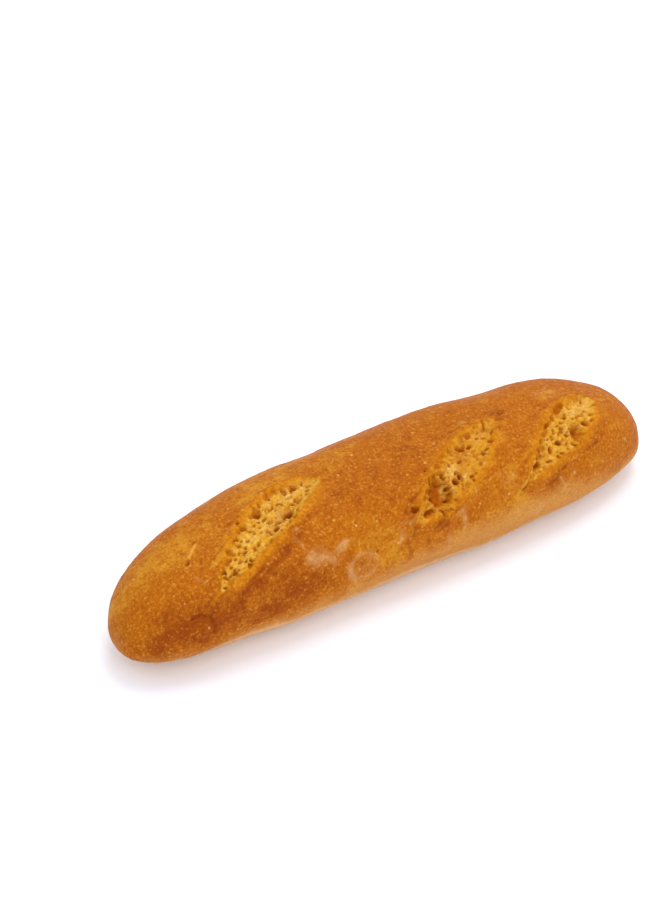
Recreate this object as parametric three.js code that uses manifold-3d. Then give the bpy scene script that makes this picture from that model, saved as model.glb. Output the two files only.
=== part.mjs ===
// A small baguette with three slanting blade cuts, baked as one piece and lying on its flat base.
// Millimetres, +Z up, the loaf along X, with the origin on the base under the middle of the loaf.
import * as THREE from 'three';
import { mergeVertices } from 'three/addons/utils/BufferGeometryUtils.js';
import Module from 'manifold-3d';

// Driving dimensions of the loaf.
const LENGTH = 273;
const WIDTH = 72;
const HEIGHT = 50;
const WIDEST_SHARE = 0.37; // height of the widest line, as a share of HEIGHT
const DOUGH_BELOW_BASE = 0.2; // depth that the tray presses flat, as a share of the widest line's height
const ROUNDNESS_ABOVE = 2.38; // superellipse exponents of the section, above and below its widest line
const ROUNDNESS_BELOW = 2.2;
const TIP_HEIGHT_LEFT = 14;
const TIP_HEIGHT_RIGHT = 10;
const TAPER_LEFT = 2.95; // how late each half starts to narrow towards its end
const TAPER_RIGHT = 3.35;
const TAPER_ROUNDNESS = 2.58;
const BEND = 5.6; // sideways curve of the loaf's axis, all of it towards the left end

// The blade cuts: middle, half sizes and slant in plan view, and how far the torn crumb lies below the crust.
const CUTS = [
  { x: -60.6, y: -14.6, halfLength: 35, halfWidth: 7, slant: 22, depth: 2.4 },
  { x: 27.2, y: -20, halfLength: 31, halfWidth: 8, slant: 21, depth: 3 },
  { x: 83.5, y: -20, halfLength: 31.5, halfWidth: 7.5, slant: 25.5, depth: 2.6 },
];
const CUT_RIM_LIFT = 0.4; // the cutter's rim stands this far above the crust, for a clean edge
const CUT_HEADROOM = 3;

// Facets: around the loaf, from tip to tip, and the same for a cutter.
const LOAF_FACETS = [48, 54];
const CUT_FACETS = [16, 14];

const halfLength = LENGTH / 2;
const widestHeight = HEIGHT * WIDEST_SHARE;
const domeHeight = HEIGHT - widestHeight;
const bellyDepth = widestHeight * (1 + DOUGH_BELOW_BASE);

const signedPower = (value, power) => Math.sign(value) * Math.abs(value) ** power;

// Share of its full section that the loaf has at t, where t runs from -1 to 1 from the left tip to the right.
function fullness(t) {
  const taper = t < 0 ? TAPER_LEFT : TAPER_RIGHT;
  return Math.max(0, 1 - Math.abs(t) ** taper) ** (1 / TAPER_ROUNDNESS);
}

const axisOffset = (t) => BEND * (t ** 3 - t ** 2);

function widestLineHeight(t) {
  const tip = t < 0 ? TIP_HEIGHT_LEFT : TIP_HEIGHT_RIGHT;
  return tip + (widestHeight - tip) * fullness(t);
}

// Height of the crust over a point of the plan.
function crustHeight(x, y) {
  const t = x / halfLength;
  const across = Math.min(1, Math.abs(y - axisOffset(t)) / (fullness(t) * WIDTH / 2));
  const rise = (1 - across ** ROUNDNESS_ABOVE) ** (1 / ROUNDNESS_ABOVE);
  return widestLineHeight(t) + domeHeight * fullness(t) * rise;
}

// A unit sphere with its poles on X, as bare closed triangles.
function unitSphere([around, along]) {
  const sphere = new THREE.SphereGeometry(1, around, along);
  sphere.deleteAttribute('normal');
  sphere.deleteAttribute('uv');
  sphere.rotateZ(-Math.PI / 2);
  return mergeVertices(sphere);
}

function reshape(geometry, place) {
  const position = geometry.getAttribute('position');
  const point = new THREE.Vector3();
  for (let i = 0; i < position.count; i += 1) {
    point.fromBufferAttribute(position, i);
    place(point);
    position.setXYZ(i, point.x, point.y, point.z);
  }
  return geometry;
}

// The whole dough: a sphere stretched over the loaf's sections, round underneath.
function dough() {
  return reshape(unitSphere(LOAF_FACETS), (point) => {
    const t = THREE.MathUtils.clamp(point.x, -1, 1);
    const angle = Math.atan2(point.z, point.y);
    const below = point.z < 0;
    const power = 2 / (below ? ROUNDNESS_BELOW : ROUNDNESS_ABOVE);
    const reach = below ? bellyDepth : domeHeight;
    point.set(
      t * halfLength,
      axisOffset(t) + (WIDTH / 2) * fullness(t) * signedPower(Math.cos(angle), power),
      widestLineHeight(t) + reach * fullness(t) * signedPower(Math.sin(angle), power),
    );
  });
}

// One blade cut: a long pillow that follows the crust and dips into it.
function cutter(cut) {
  const slant = THREE.MathUtils.degToRad(cut.slant);
  const step = 0.5;
  return reshape(unitSphere(CUT_FACETS), (point) => {
    const along = point.x * cut.halfLength;
    const across = point.y * cut.halfWidth * Math.sqrt(Math.max(0, 1 - point.x ** 2));
    const x = cut.x + along * Math.cos(slant) - across * Math.sin(slant);
    const y = cut.y + along * Math.sin(slant) + across * Math.cos(slant);
    const outward = new THREE.Vector3(
      crustHeight(x - step, y) - crustHeight(x + step, y),
      crustHeight(x, y - step) - crustHeight(x, y + step),
      2 * step,
    ).normalize();
    const offset = CUT_RIM_LIFT + point.z * (point.z > 0 ? CUT_HEADROOM : cut.depth + CUT_RIM_LIFT);
    point.set(x, y, crustHeight(x, y)).addScaledVector(outward, offset);
  });
}

// The pressed and baked-flat underside is everything below the tray.
function belowTray() {
  const slab = new THREE.BoxGeometry(2 * LENGTH, 2 * WIDTH, HEIGHT).translate(0, 0, -HEIGHT / 2);
  slab.deleteAttribute('normal');
  slab.deleteAttribute('uv');
  return mergeVertices(slab);
}

const wasm = await Module();
wasm.setup();

function toSolid(geometry) {
  return new wasm.Manifold(new wasm.Mesh({
    numProp: 3,
    vertProperties: new Float32Array(geometry.getAttribute('position').array),
    triVerts: new Uint32Array(geometry.getIndex().array),
  }));
}

function toGeometry(solid) {
  const mesh = solid.getMesh();
  const geometry = new THREE.BufferGeometry();
  geometry.setAttribute('position', new THREE.BufferAttribute(mesh.vertProperties, 3));
  geometry.setIndex(new THREE.BufferAttribute(mesh.triVerts, 1));
  return geometry;
}

// The finished loaf, shifted so that the origin is under the middle of its box.
function loafGeometry() {
  let solid = toSolid(dough()).subtract(toSolid(belowTray()));
  for (const cut of CUTS) {
    solid = solid.subtract(toSolid(cutter(cut)));
  }
  const geometry = toGeometry(solid);
  geometry.computeBoundingBox();
  const middle = geometry.boundingBox.getCenter(new THREE.Vector3());
  geometry.translate(-middle.x, -middle.y, 0);
  geometry.computeVertexNormals();
  return geometry;
}

const crust = new THREE.MeshStandardMaterial({ color: 0xbe742a, roughness: 0.62, metalness: 0 });
const loaf = new THREE.Mesh(loafGeometry(), crust);
loaf.name = 'loaf';

const baguette = new THREE.Group();
baguette.add(loaf);

export default baguette;
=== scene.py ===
"""The looks of a small baguette: crust, torn blade cuts, pores and flour, on a plain pale floor.

The loaf is one closed mesh. Its surface is laid out in two measures, both in millimetres: x, along
the loaf, and s, the distance from its ridge around the section, negative on the side with the cuts.
"""

import math
from types import SimpleNamespace

import bpy
import numpy as np
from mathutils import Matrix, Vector


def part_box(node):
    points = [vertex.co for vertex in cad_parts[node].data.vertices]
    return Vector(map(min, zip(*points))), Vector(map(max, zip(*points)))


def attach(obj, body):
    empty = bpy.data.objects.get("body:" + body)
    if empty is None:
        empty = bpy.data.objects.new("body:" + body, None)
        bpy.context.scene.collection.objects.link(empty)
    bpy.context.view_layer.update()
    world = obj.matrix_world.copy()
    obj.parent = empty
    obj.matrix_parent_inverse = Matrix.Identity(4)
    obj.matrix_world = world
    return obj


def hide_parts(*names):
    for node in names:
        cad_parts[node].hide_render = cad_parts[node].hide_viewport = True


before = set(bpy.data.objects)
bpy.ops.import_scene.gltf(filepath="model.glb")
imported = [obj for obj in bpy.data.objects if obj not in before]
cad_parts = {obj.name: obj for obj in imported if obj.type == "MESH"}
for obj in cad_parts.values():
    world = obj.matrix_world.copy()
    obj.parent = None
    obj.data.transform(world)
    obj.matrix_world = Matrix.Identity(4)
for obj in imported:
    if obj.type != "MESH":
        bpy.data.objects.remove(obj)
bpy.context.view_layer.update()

MM = 0.001
SEED = 7  # of the pores that are scattered at random

# ---------------------------------------------------------------- the loaf's plain shape, in millimetres

BOX_LOW, BOX_HIGH = (np.array(corner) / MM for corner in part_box("loaf"))
LENGTH, WIDTH, HEIGHT = BOX_HIGH - BOX_LOW
WIDEST_HEIGHT = 0.37 * HEIGHT
BELLY_DEPTH = 1.2 * WIDEST_HEIGHT  # reaches below the table, where the base is pressed flat
ROUNDNESS_ABOVE, ROUNDNESS_BELOW = 2.38, 2.2
TIP_HEIGHT = (14, 10)  # at the left end and at the right end
TAPER = (2.95, 3.35)
TAPER_ROUNDNESS = 2.58
BEND = 0.0205 * LENGTH

# Mesh spacing: along the loaf, around it where the cuts are, and around the rest.
STEP_ALONG = 0.42
STEP_FINE = 0.42
STEP_COARSE = 1.1
FINE_BAND = (-50, 10)  # the stretch of s, at the middle of the loaf, that gets the fine spacing
ROW_CROWDING = 0.14  # how much closer the rows lie at the tips and the middle than between them
LAST_ROW = 0.9995  # share of the half length where the outermost rows lie at most
GIRTH_SAMPLES = 721  # points on a half section, for measuring lengths along it
UNROLLED_MARGIN = 0.005  # share of the unrolled picture that each tip's fan of triangles takes


def by_side(t, pair):
    """The first of the pair on the left half of the loaf and the second on the right."""
    return np.where(t < 0, pair[0], pair[1])


def fullness(t):
    """Share of the full section at t, which runs from -1 at the left tip to 1 at the right."""
    return np.clip(1 - np.abs(t) ** by_side(t, TAPER), 0, None) ** (1 / TAPER_ROUNDNESS)


def signed_power(value, power):
    """The power of the value without its sign, which is then put back."""
    return np.sign(value) * np.abs(value) ** power


def section(t, angle):
    """Points of the section at t. The angle is 0 at the ridge and grows down the -Y side."""
    full = fullness(t)
    tip = by_side(t, TIP_HEIGHT)
    middle = tip + (WIDEST_HEIGHT - tip) * full
    up, out = np.cos(angle), -np.sin(angle)
    above = up >= 0
    power = np.where(above, 2 / ROUNDNESS_ABOVE, 2 / ROUNDNESS_BELOW)
    reach = np.where(above, HEIGHT - WIDEST_HEIGHT, BELLY_DEPTH) * full
    y = BEND * (t**3 - t**2) + WIDTH / 2 * full * signed_power(out, power)
    z = np.maximum(middle + reach * signed_power(up, power), 0)
    return y, z


# ---------------------------------------------------------------- noise


# The numbers of a hash, which stirs a cell's place and a seed into 32 random-looking bits.
ALL_BITS = 0xFFFFFFFF
SEED_FACTOR, SEED_START = 747796405, 2891336453
AXIS_FACTORS = (73856093, 19349663, 83492791)
STIR_FACTOR = 0x5BD1E995
STIR_SHIFTS = (13, 15)


def lattice_random(cells, seed):
    """A number from 0 to 1 for each whole-number cell, the same each run."""
    start = (seed * SEED_FACTOR + SEED_START) & ALL_BITS
    mixed = np.full(cells.shape[:-1], start, dtype=np.uint32)
    for axis, factor in enumerate(AXIS_FACTORS):
        place = (cells[..., axis].astype(np.int64) & ALL_BITS).astype(np.uint32)
        mixed = (mixed ^ place) * np.uint32(factor)
        mixed ^= mixed >> np.uint32(STIR_SHIFTS[0])
        mixed *= np.uint32(STIR_FACTOR)
        mixed ^= mixed >> np.uint32(STIR_SHIFTS[1])
    return mixed / (ALL_BITS + 1.0)


def noise(points, size, seed):
    """Smooth noise from -1 to 1 with bumps about size across."""
    scaled = points / size
    cell = np.floor(scaled)
    part = scaled - cell
    part = part * part * (3 - 2 * part)
    total = 0
    for corner in np.ndindex(2, 2, 2):
        weight = np.prod(np.where(corner, part, 1 - part), axis=-1)
        total = total + weight * lattice_random(cell + corner, seed)
    return 2 * total - 1


def layered(points, layers, seed):
    """A sum of noises, whose layers are given as their sizes and strengths."""
    return sum(strength * noise(points, size, seed + k) for k, (size, strength) in enumerate(layers))


def fractal(points, size, octaves, seed):
    """Noise with finer and fainter noise added, each layer of half the size and half the strength."""
    layers = [noise(points, size / 2**k, seed + k) / 2**k for k in range(octaves)]
    return sum(layers) / sum(1 / 2**k for k in range(octaves))


def bubbles(points, size, seed):
    """For scattered cells about size across: how far each point is from its cell's wall, in cell
    sizes, and a number from 0 to 1 that belongs to the cell."""
    scaled = points / size
    home = np.floor(scaled)
    nearest = np.full(len(points), np.inf)
    second = nearest.copy()
    own = np.zeros(len(points))
    for step in np.ndindex(3, 3, 3):
        cell = home + step - 1
        spot = cell + np.stack([lattice_random(cell, seed + k) for k in range(3)], axis=-1)
        gap = np.linalg.norm(scaled - spot, axis=-1)
        own = np.where(gap < nearest, lattice_random(cell, seed + 3), own)
        second = np.minimum(second, np.maximum(nearest, gap))
        nearest = np.minimum(nearest, gap)
    return second - nearest, own


def smooth(low, high, value):
    """From 0 where the value is low or past it to 1 where it is high or past it, without a kink."""
    share = np.clip((value - low) / (high - low), 0, 1)
    return share * share * (3 - 2 * share)


# ---------------------------------------------------------------- the base grid


def grid_shares():
    """Where the grid's lines lie: t from tip to tip, and the share of the half section from -1 to 1."""
    half_turn = np.linspace(0, math.pi, GIRTH_SAMPLES)
    y, z = section(np.zeros_like(half_turn), half_turn)
    half_girth = np.hypot(np.diff(y), np.diff(z)).sum()
    stations = int(LENGTH / STEP_ALONG)
    even = np.linspace(-1, 1, stations + 1)[1:-1]
    t = (1 - ROW_CROWDING) * even + ROW_CROWDING * np.sin(even * math.pi / 2) ** 3
    t = np.clip(t, -LAST_ROW, LAST_ROW)
    fine = np.array(FINE_BAND) / half_girth
    stretches = ((-1, fine[0], STEP_COARSE), (*fine, STEP_FINE), (fine[1], 1, STEP_COARSE))
    around = [
        np.linspace(start, end, int((end - start) * half_girth / step), endpoint=False)
        for start, end, step in stretches
    ]
    return t, np.concatenate(around)


def base_grid(t, share):
    """Base points as rows from tip to tip and columns around, with x, s and the outward direction."""
    half_turn = np.linspace(0, math.pi, GIRTH_SAMPLES)
    points = np.empty((len(t), len(share), 3))
    around = np.empty((len(t), len(share)))
    for row, here in enumerate(t):
        for side, columns in ((-1, share < 0), (1, share >= 0)):
            y, z = section(np.full_like(half_turn, here), -side * half_turn)
            length = np.concatenate([[0], np.cumsum(np.hypot(np.diff(y), np.diff(z)))])
            wanted = np.abs(share[columns]) * length[-1]
            points[row, columns, 1] = np.interp(wanted, length, y)
            points[row, columns, 2] = np.interp(wanted, length, z)
            around[row, columns] = side * wanted
    points[..., 0] = t[:, None] * LENGTH / 2
    along = np.gradient(points, axis=0)
    ring = np.concatenate([points[:, -1:], points, points[:, :1]], axis=1)
    across = (ring[:, 2:] - ring[:, :-2]) / 2
    outward = np.cross(along, across)
    outward /= np.linalg.norm(outward, axis=-1, keepdims=True)
    return points, points[..., 0], around, outward


# ---------------------------------------------------------------- the blade cuts

# Each cut's mouth is drawn on the surface as (x, s): its two tips, and how its edges bow out above
# and below the line between them, as the height of the bow and how pointed it is at the left tip and
# at the right one. "open" says how open the crumb is at the left tip and at the right one, and "pale"
# how pale it is there. "gold" is how golden its lips are, and "ragged" how torn they are. Bowls and
# pores are x, s, half-length, half-width, turn in degrees and depth.
CUTS = [
    {
        "tips": ((-95.5, -26), (-29.5, -1)),
        "above": (14.6, 0.85, 0.5),
        "below": (5.5, 0.6, 0.6),
        "depth": 1.9,
        "open": (1.15, 0.55),
        "pale": (0.9, 0.76),
        "gold": 0.85,
        "ragged": 0.7,
        "bowls": [
            (-52.6, -8.2, 4.2, 3.2, 60, 1.7),
            (-43.2, -4.6, 2.4, 1.8, 50, 0.8),
            (-63.0, -2.9, 2.6, 2.0, 60, 0.8),
            (-60.4, -12.6, 3.0, 2.3, 60, 1.0),
            (-53.0, 5.0, 3.4, 1.8, 40, 0.9),
        ],
        "pores": [
            (-51.2, -9.9, 2.4, 1.9, 0, 3.0),
            (-63.2, -2.0, 1.7, 1.5, 90, 2.2),
            (-41.4, 2.7, 1.7, 1.4, -30, 2.0),
            (-50.0, 5.6, 1.4, 1.0, 60, 1.0),
            (-73.0, -2.5, 1.0, 0.8, 60, 1.4),
            (-84.5, -13.0, 1.1, 0.9, 90, 1.4),
            (-85.3, -16.7, 1.1, 0.7, 25, 1.4),
            (-87.8, -17.5, 0.8, 0.7, 60, 1.3),
            (-90.6, -22.1, 1.4, 0.8, -25, 1.6),
            (-87.9, -22.8, 1.1, 0.7, 10, 1.3),
            (-59.3, -13.8, 1.5, 1.2, 30, 1.5),
            (-56.9, -11.5, 1.1, 0.9, 60, 1.4),
            (-77.4, -16.8, 1.0, 0.7, -20, 1.3),
            (-80.2, -15.8, 0.8, 0.6, 60, 1.1),
            (-81.6, -19.6, 1.3, 0.8, 0, 1.2),
            (-79.0, -20.8, 0.9, 0.6, 50, 1.0),
            (-83.8, -22.4, 0.9, 0.6, -30, 1.0),
            (-55.3, -2.6, 1.4, 0.6, 60, 1.1),
            (-61.6, -6.1, 1.3, 0.6, 0, 1.0),
            (-67.2, -7.0, 1.0, 0.7, 30, 1.0),
            (-66.2, -2.2, 1.0, 0.7, 90, 0.9),
            (-70.6, -16.7, 1.4, 0.8, 60, 1.2),
            (-65.0, -18.2, 1.2, 0.7, 20, 1.0),
            (-43.2, -4.8, 1.7, 1.2, 50, 0.8),
            (-46.4, 3.2, 1.5, 0.7, 90, 0.9),
            (-46.6, -10.0, 1.6, 0.7, 40, 1.0),
            (-35.0, 0.2, 1.6, 0.9, -40, 0.9),
            (-76.3, -11.1, 0.9, 0.6, 70, 0.9),
            (-54.4, 4.4, 1.9, 0.9, 55, 0.7),
        ],
    },
    {
        "tips": ((-1, -37.5), (59, -5)),
        "above": (9.6, 1.0, 0.7),
        "below": (10.8, 0.8, 1.0),
        "depth": 2.2,
        "open": (0.5, 0.5),
        "pale": (0.3, 0.36),
        "gold": 0.4,
        "ragged": 1.5,
        "bowls": [
            (16.1, -28.8, 8.2, 5.0, 72, 4.2),
            (35.4, -15.5, 5.4, 3.4, 25, 1.3),
            (26.9, -26.0, 4.0, 3.0, 30, 0.8),
        ],
        "pores": [
            (11.5, -30.0, 3.0, 1.2, 82, 1.3),
            (19.9, -33.0, 2.8, 1.2, 55, 1.3),
            (17.5, -23.2, 1.9, 1.4, 60, 0.9),
            (25.3, -27.0, 1.9, 1.4, -50, 3.0),
            (28.4, -24.8, 1.6, 0.9, 85, 2.8),
            (1.2, -32.3, 1.8, 1.6, 0, 2.8),
            (7.2, -36.0, 2.6, 1.3, 20, 2.4),
            (35.7, -11.8, 2.4, 1.1, -10, 1.8),
            (40.1, -12.4, 1.3, 0.9, 0, 1.3),
            (44.0, -19.0, 1.3, 0.7, 60, 1.7),
            (49.9, -14.6, 1.5, 1.0, -60, 1.5),
            (52.5, -4.6, 2.0, 0.6, 85, 1.4),
            (25.0, -13.6, 1.8, 1.0, 30, 0.9),
            (26.2, -18.4, 1.1, 0.6, 80, 1.1),
            (33.5, -27.4, 1.1, 0.8, 0, 1.4),
            (13.5, -37.3, 1.5, 0.7, -30, 1.2),
            (53.2, -10.2, 1.6, 0.5, 50, 1.2),
            (27.3, -30.6, 1.8, 0.6, 60, 1.0),
        ],
    },
    {
        "tips": ((58.5, -38.5), (111, -7)),
        "above": (11.4, 0.8, 0.4),
        "below": (6.8, 0.9, 0.55),
        "depth": 2.0,
        "open": (0.9, 0.5),
        "pale": (0.65, 0.75),
        "gold": 0.52,
        "ragged": 1.0,
        "bowls": [
            (92.3, -21.6, 4.8, 3.2, 62, 2.8),
            (89.5, -10.0, 4.6, 2.2, 32, 0.9),
            (68.9, -30.5, 4.0, 3.0, 40, 0.8),
        ],
        "pores": [
            (80.9, -25.2, 1.6, 1.4, 0, 2.9),
            (99.1, -18.6, 2.0, 1.5, 70, 2.4),
            (91.0, -7.6, 4.2, 1.4, 32, 1.5),
            (79.1, -15.6, 2.1, 0.9, 25, 1.8),
            (65.4, -32.6, 2.4, 1.6, 20, 2.3),
            (69.3, -26.1, 2.0, 1.0, -10, 1.6),
            (75.1, -27.4, 2.0, 0.9, 80, 1.7),
            (79.5, -30.4, 1.2, 0.8, -20, 1.4),
            (72.1, -32.5, 1.5, 0.7, 0, 1.2),
            (92.7, -21.0, 1.6, 1.1, 50, 1.2),
            (105.4, -5.4, 1.3, 0.7, 80, 1.2),
            (102.8, -17.9, 1.1, 0.7, 20, 1.2),
            (104.7, -14.4, 1.3, 0.7, 40, 1.1),
            (81.5, -18.3, 0.9, 0.6, 60, 1.2),
            (83.2, -20.8, 1.1, 0.5, 60, 1.2),
            (76.1, -22.2, 0.7, 0.5, 0, 1.0),
            (85.0, -16.6, 1.0, 0.6, 0, 1.1),
            (87.1, -27.0, 1.3, 0.6, 30, 1.2),
            (67.5, -29.4, 1.0, 0.6, 0, 0.9),
            (96.9, -14.4, 1.2, 0.7, 60, 0.9),
        ],
    },
]

# Pores scattered over the crumb, where share is the share of the way along a cut.
RANDOM_PORES = 230  # over all cuts, many of them shallow
RANDOM_SHARES = (0.03, 0.95)
RANDOM_SIZE, RANDOM_SIZE_RANGE = 0.3, 0.6  # the least half-width, and what is added to it at most
RANDOM_STRETCH = (1.0, 1.8)  # half-length over half-width
RANDOM_TURN = 60  # the most that a pore turns away from the cut, in degrees
RANDOM_DEPTHS = (0.5, 1.9)  # against the half-width
RANDOM_MARGIN = 1.0  # from the cut's edges
PORE_WALL = 0.5  # crumb left between a random pore and its neighbours
NEIGHBOUR_SHARE = 0.7  # of a neighbour's half-width that a random pore stays clear of

# Pores in a row under each cut's upper edge.
RIM_PORES = 11
RIM_SHARES = (0.15, 0.8)
RIM_GAPS = (1.0, 2.8)  # from the edge
RIM_SIZES = (0.6, 1.2)
RIM_STRETCH = 1.4
RIM_TURN = 30
RIM_DEPTH = 1.1

# A pore's radius runs from 0 at its middle to about 1 at its rim.
PORE_SIZE = 1.15  # widens every pore
PORE_REACH = 2  # half-lengths from its middle within which a pore is worked out
PORE_WOBBLE = 0.22  # how far its outline wobbles
BOWL_WOBBLE = 1.6  # how much more than a pore's outline a bowl's one wobbles
PORE_SIDE = (0.5, 1.12)  # the radii between which it rises from its depth to the surface
PORE_SHADE_SIDE = (0.4, 1.1)
# Painted shade in a pore: its least darkness, and how much darker it gets per millimetre of depth.
PORE_SHADE, SHADE_PER_DEPTH = 0.2, 0.38


def turned(x, s, middle, angle):
    """x and s as seen from a middle point, turned so that the first runs along the angle."""
    cos, sin = math.cos(angle), math.sin(angle)
    dx, ds = x - middle[0], s - middle[1]
    return dx * cos + ds * sin, ds * cos - dx * sin


def bow(share, height, left_power, right_power):
    """How far an edge stands off the line between the tips, at a share of the way along it."""
    peak = left_power / (left_power + right_power)
    return height * (share / peak) ** left_power * ((1 - share) / (1 - peak)) ** right_power


def mouth(cut, x, s):
    """How far a point lies inside a cut's upper and lower edges, in millimetres and below 0
    outside, and its place from 0 at the left tip to 1 at the right one."""
    (x0, s0), (x1, s1) = cut["tips"]
    along, across = turned(x, s, ((x0 + x1) / 2, (s0 + s1) / 2), direction(cut))
    reach = math.hypot(x1 - x0, s1 - s0) / 2
    share = np.clip(0.5 + 0.5 * along / reach, 0, 1)
    above, below = bow(share, *cut["above"]), bow(share, *cut["below"])
    past_tip = np.maximum(np.abs(along) - reach, 0)
    beyond = -np.hypot(past_tip, across)
    under_upper = np.where(past_tip > 0, beyond, above - across)
    over_lower = np.where(past_tip > 0, beyond, below + across)
    return under_upper, over_lower, share


def direction(cut):
    """The angle of the line between a cut's tips."""
    (x0, s0), (x1, s1) = cut["tips"]
    return math.atan2(s1 - s0, x1 - x0)


def on_cut(cut, share, across):
    """The x and s of a point at a share of the way between a cut's tips and across from their line."""
    (x0, s0), (x1, s1) = cut["tips"]
    angle = direction(cut)
    x = x0 + share * (x1 - x0) - across * math.sin(angle)
    s = s0 + share * (s1 - s0) + across * math.cos(angle)
    return x, s


def is_crowded(x, s, size, pores):
    """Whether a pore of that half-width would break into another one."""
    for other_x, other_s, _, half_width, _, _ in pores:
        if math.hypot(x - other_x, s - other_s) < size + PORE_WALL + NEIGHBOUR_SHARE * half_width:
            return True
    return False


def cut_pores(cut, rng):
    """The cut's own pores, its share of small random ones, and a row of them under the upper edge."""
    turn = math.degrees(direction(cut))
    pores = list(cut["pores"])
    wanted = len(pores) + RANDOM_PORES // len(CUTS)
    while len(pores) < wanted:
        share = rng.uniform(*RANDOM_SHARES)
        across = rng.uniform(-cut["below"][0], cut["above"][0])
        x, s = on_cut(cut, share, across)
        size = RANDOM_SIZE + RANDOM_SIZE_RANGE * rng.random() ** 2
        if min(mouth(cut, x, s)[:2]) < RANDOM_MARGIN or is_crowded(x, s, size, pores):
            continue
        half_length = size * rng.uniform(*RANDOM_STRETCH)
        turned_by = turn + rng.uniform(-RANDOM_TURN, RANDOM_TURN)
        pores.append((x, s, half_length, size, turned_by, size * rng.uniform(*RANDOM_DEPTHS)))
    for _ in range(RIM_PORES):
        share = rng.uniform(*RIM_SHARES)
        x, s = on_cut(cut, share, bow(share, *cut["above"]) - rng.uniform(*RIM_GAPS))
        size = rng.uniform(*RIM_SIZES)
        turned_by = turn + rng.uniform(-RIM_TURN, RIM_TURN)
        pores.append((x, s, RIM_STRETCH * size, size, turned_by, RIM_DEPTH * size))
    return pores


def add_pores(pores, x, s, wobble, sink, shade):
    """Sinks each pore to its depth, in millimetres, and paints shade into it where it is deep."""
    for px, ps, half_length, half_width, turn, depth in pores:
        reach = PORE_REACH * half_length
        near = np.flatnonzero((np.abs(x - px) < reach) & (np.abs(s - ps) < reach))
        along, across = turned(x[near], s[near], (px, ps), math.radians(turn))
        radius = np.hypot(along / half_length, across / half_width) / PORE_SIZE
        radius = radius * (1 + PORE_WOBBLE * wobble[near])
        sink[near] = np.maximum(sink[near], depth * (1 - smooth(*PORE_SIDE, radius)))
        dark = min(1.0, SHADE_PER_DEPTH * depth + PORE_SHADE)
        shade[near] = np.maximum(shade[near], dark * (1 - smooth(*PORE_SHADE_SIDE, radius)))


# ---------------------------------------------------------------- marks on the crust

# Soft patches as x, s, half-length, half-width, turn in degrees and strength.
FLOUR = [
    (-54.6, -25.0, 4.0, 1.3, 110, 0.36),
    (-52.0, -33.4, 3.8, 3.8, 0, 0.5),
    (-47.0, -35.0, 4.6, 4.0, -20, 0.5),
    (-41.8, -38.6, 4.2, 2.8, -30, 0.36),
    (-37.0, -34.4, 3.0, 2.1, 20, 0.85),
    (-34.0, -32.8, 1.5, 1.0, 0, 0.5),
    (-28.8, -47.3, 6.4, 5.4, 0, 0.3),
    (-34.6, -47.0, 4.5, 1.6, -70, 0.3),
    (-31.8, -56.0, 3.6, 2.0, -60, 0.4),
    (23.8, -43.5, 6.0, 1.7, 84, 0.62),
    (21.0, -40.5, 2.0, 1.2, 30, 0.4),
    (15.0, -52.5, 5.0, 2.0, 88, 0.5),
    (-2.3, -36.3, 1.6, 1.3, 0, 0.36),
    (-8.8, -41.3, 3.4, 1.4, 60, 0.4),
    (31.8, -33.6, 2.0, 1.5, 0, 0.5),
    (63.5, -53.5, 5.0, 2.2, 70, 0.55),
    (78.0, -46.0, 4.5, 1.5, 50, 0.4),
    (76.0, -42.5, 2.4, 0.8, -60, 0.55),
    (83.5, -40.5, 1.6, 1.0, 0, 0.6),
    (8.5, -57.0, 3.0, 1.6, 60, 0.35),
    (-52.6, -19.4, 1.5, 1.2, 0, 0.6),
    (26.0, -5.5, 0.9, 0.8, 0, 0.8),
    (45.0, 1.2, 2.4, 1.1, -20, 0.5),
    (117.0, -27.5, 1.6, 0.9, 0, 0.7),
    (110.0, 4.0, 5.0, 1.6, -30, 0.35),
    (92.0, 4.0, 8.0, 4.0, 0, 0.34),
    (50.0, -33.0, 6.0, 6.0, 0, 0.26),
    (-6.0, -39.0, 6.0, 7.0, 0, 0.2),
    (-102.8, -7.6, 1.4, 0.9, 40, 0.4),
    (-101.5, -15.0, 2.2, 1.4, 80, 0.42),
    (-99.0, -18.5, 1.2, 0.9, 0, 0.45),
    (-40.0, 62.0, 9.0, 3.0, 20, 0.4),
    (-28.0, 56.0, 4.0, 2.0, -40, 0.5),
    (58.0, 48.0, 7.0, 2.2, -15, 0.4),
    (66.0, 54.0, 3.0, 1.8, 30, 0.5),
    (-92.0, 40.0, 5.0, 1.6, 60, 0.35),
]
# Rings of flour as x, s, half-length, half-width, width of the band and strength.
FLOUR_RINGS = [
    (-28.8, -47.3, 7.2, 5.8, 1.6, 0.36),
    (20.0, 58.0, 8.0, 5.0, 1.6, 0.4),
]
# Where the loaf is thinner than its plain shape, or thicker below 0, as patches in millimetres.
DENTS = [
    (-10, 26, 24, 8, 0, 0.9),
    (68, 25, 14, 9, 0, 1.9),
    (-22, 27, 16, 8, 0, 0.5),
    (-84, 27, 14, 8, 0, 0.8),
    (116, 10, 10, 10, 0, 0.6),
    (65, -61, 10, 9, 0, 0.6),
    (1, -63, 20, 6, 0, 1.7),
    (-80, -54, 14, 12, 0, 2.5),
    (-120, 14, 12, 10, 0, 0.6),
    (7, 27, 12, 8, 0, 0.4),
    (-99, -53, 9, 8, 0, 0.7),
    (-106, -36, 4.5, 4.5, 0, -0.6),
    (92, -54, 12, 8, 0, -0.2),
    (127, -32, 12, 12, 0, -0.8),
    (-137, 0, 4, 60, 0, -0.7),
    (-113, 24, 9, 7, 0, 0.5),
    (-17, 30, 9, 7, 0, 0.7),
]
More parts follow.
